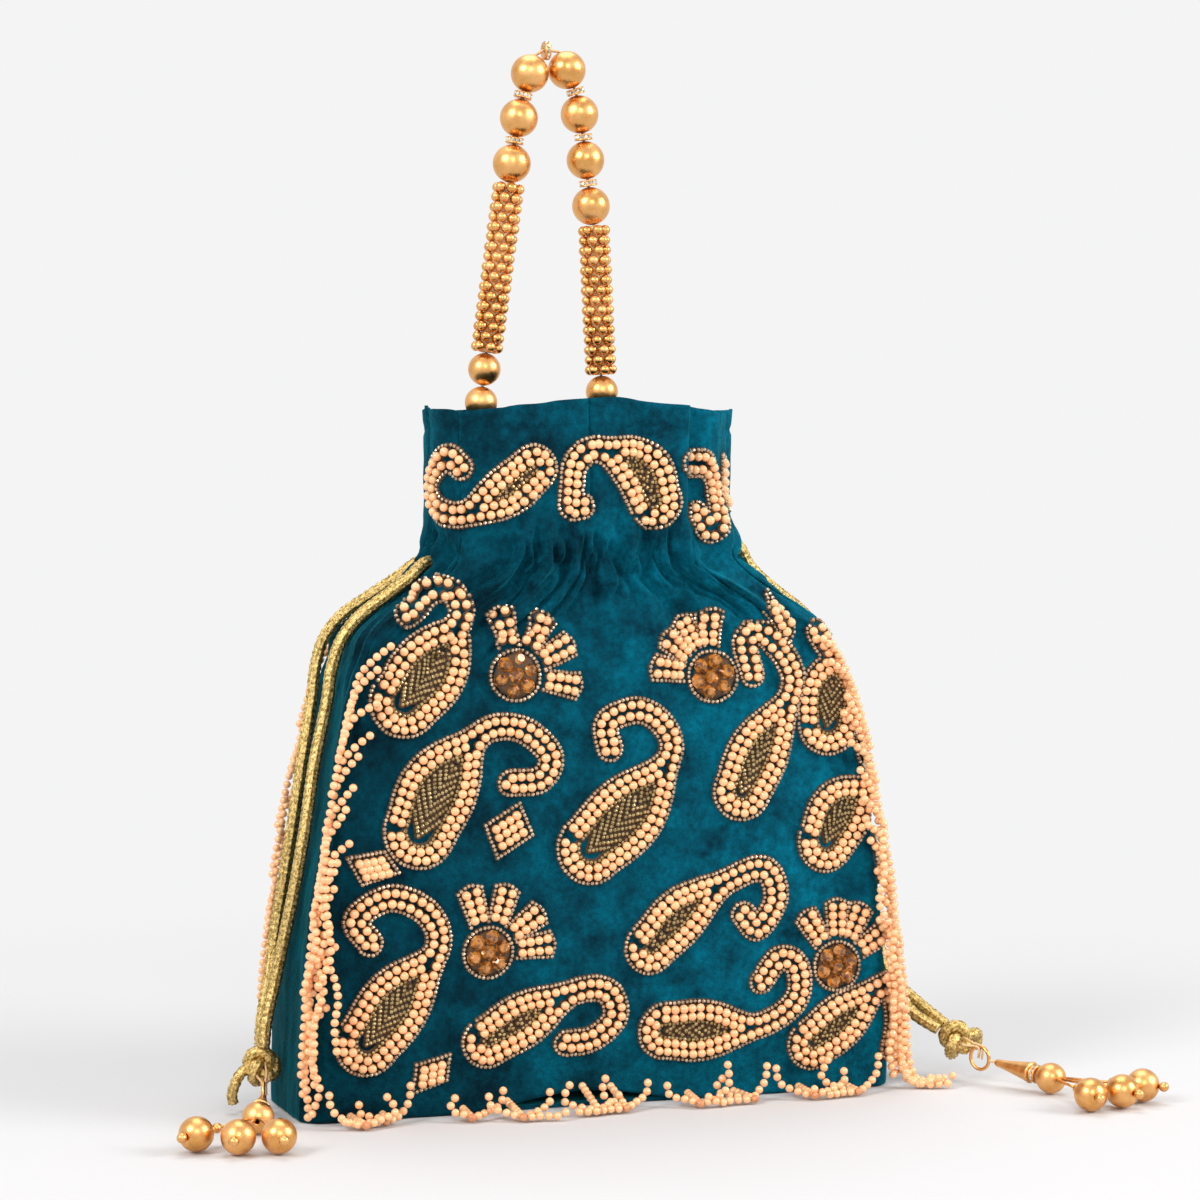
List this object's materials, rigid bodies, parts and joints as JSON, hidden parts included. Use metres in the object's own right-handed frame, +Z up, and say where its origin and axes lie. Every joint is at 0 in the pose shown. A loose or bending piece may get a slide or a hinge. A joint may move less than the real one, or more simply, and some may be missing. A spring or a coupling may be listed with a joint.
{
  "type": "beaded velvet drawstring pouch",
  "caption": "Flat-bottomed velvet potli pouch with a gathered neck, bead embroidery, a pearl fringe, a beaded hand loop and drawstring tassels.",
  "frame": {"origin": "middle of the underside of the bottom panel, at floor level", "axes": "+Z up, the embroidered front faces -Y, +X to the right as seen from the front"},
  "size_m": [0.3166, 0.137, 0.3421],
  "materials": {
    "velvet": "mottled velvet nap",
    "lining_cloth": "plain satin",
    "pearl": "pearly",
    "gold_bead": "gold coated, satin to glossy",
    "rhinestone": "cut stones in a gold cup",
    "amber_stone": "cut stones",
    "lurex_cord": "braided metallic yarn",
    "thread": "waxed thread"
  },
  "bodies": {
    "bag": {"front_panel": "velvet", "back_panel": "velvet", "left_side_panel": "velvet", "right_side_panel": "velvet", "bottom_panel": "velvet", "lining": "lining_cloth", "front_fringe": "pearl", "back_fringe": "pearl", "flower_stones_1": "amber_stone", "flower_stones_2": "amber_stone", "flower_stones_3": "amber_stone", "flower_stones_4": "amber_stone", "flower_stones_5": "amber_stone", "lower_drawstring_loop": "lurex_cord", "upper_drawstring_loop": "lurex_cord", "left_cord_outer": "lurex_cord", "left_cord_inner": "lurex_cord", "right_cord_front": "lurex_cord", "right_cord_back": "lurex_cord", "left_knot": "lurex_cord", "right_knot": "lurex_cord", "handle_tab_left": "thread", "handle_tab_right": "thread"},
    "hand_loop": {"handle_string": "thread", "ball_left_1": "gold_bead", "ball_left_2": "gold_bead", "ball_left_3": "gold_bead", "ball_right_1": "gold_bead", "ball_right_2": "gold_bead", "ball_right_3": "gold_bead", "ball_right_4": "gold_bead", "small_ball_left_1": "gold_bead", "small_ball_left_2": "gold_bead", "small_ball_right": "gold_bead", "sleeve_left": "gold_bead", "sleeve_right": "gold_bead", "rondelle_apex": "rhinestone", "rondelle_left_1": "rhinestone", "rondelle_left_2": "rhinestone", "rondelle_right_1": "rhinestone", "rondelle_right_2": "rhinestone", "rondelle_right_3": "rhinestone"},
    "left_tassel": {"left_tassel_ring": "gold_bead", "left_cone_cap": "gold_bead", "left_tassel_rondelle": "rhinestone", "left_head_ball": "gold_bead"},
    "left_drop_a": {"left_drop_1": "gold_bead"},
    "left_drop_b": {"left_drop_2": "gold_bead"},
    "left_drop_c": {"left_drop_3": "gold_bead"},
    "right_tassel": {"right_tassel_ring": "gold_bead", "right_cone_cap": "gold_bead", "right_tassel_rondelle": "rhinestone", "right_head_ball": "gold_bead"},
    "right_drop_a": {"right_drop_1": "gold_bead"},
    "right_drop_b": {"right_drop_2": "gold_bead"},
    "right_drop_c": {"right_drop_3": "gold_bead"}
  },
  "joints": [
    {"name": "hand_loop_swing", "type": "hinge", "parent": "bag", "child": "hand_loop", "pos_m": [0, 0.014, 0.212], "axis": [1, 0, 0], "range_deg": [-4, 50]},
    {"name": "left_tassel_swing", "type": "hinge", "parent": "bag", "child": "left_tassel", "pos_m": [-0.108, -0.0054, 0.007], "axis": [0, 0, 1], "range_deg": [-25, 12]},
    {"name": "left_drop_a_swing", "type": "hinge", "parent": "left_tassel", "child": "left_drop_a", "pos_m": [-0.1165, -0.0328, 0.0051], "axis": [0, 0, 1], "range_deg": [-20, 4]},
    {"name": "left_drop_b_swing", "type": "hinge", "parent": "left_tassel", "child": "left_drop_b", "pos_m": [-0.1165, -0.0328, 0.0051], "axis": [0, 0, 1], "range_deg": [-4, 2]},
    {"name": "left_drop_c_swing", "type": "hinge", "parent": "left_tassel", "child": "left_drop_c", "pos_m": [-0.1165, -0.0328, 0.0051], "axis": [0, 0, 1], "range_deg": [-2, 20]},
    {"name": "right_tassel_swing", "type": "hinge", "parent": "bag", "child": "right_tassel", "pos_m": [0.1294, -0.0285, 0.008], "axis": [0, 0, 1], "range_deg": [-20, 25]},
    {"name": "right_drop_a_swing", "type": "hinge", "parent": "right_tassel", "child": "right_drop_a", "pos_m": [0.1423, -0.0548, 0.0051], "axis": [0, 0, 1], "range_deg": [-20, 2]},
    {"name": "right_drop_b_swing", "type": "hinge", "parent": "right_tassel", "child": "right_drop_b", "pos_m": [0.1423, -0.0548, 0.0051], "axis": [0, 0, 1], "range_deg": [-2, 3]},
    {"name": "right_drop_c_swing", "type": "hinge", "parent": "right_tassel", "child": "right_drop_c", "pos_m": [0.1423, -0.0548, 0.0051], "axis": [0, 0, 1], "range_deg": [-3, 20]}
  ]
}
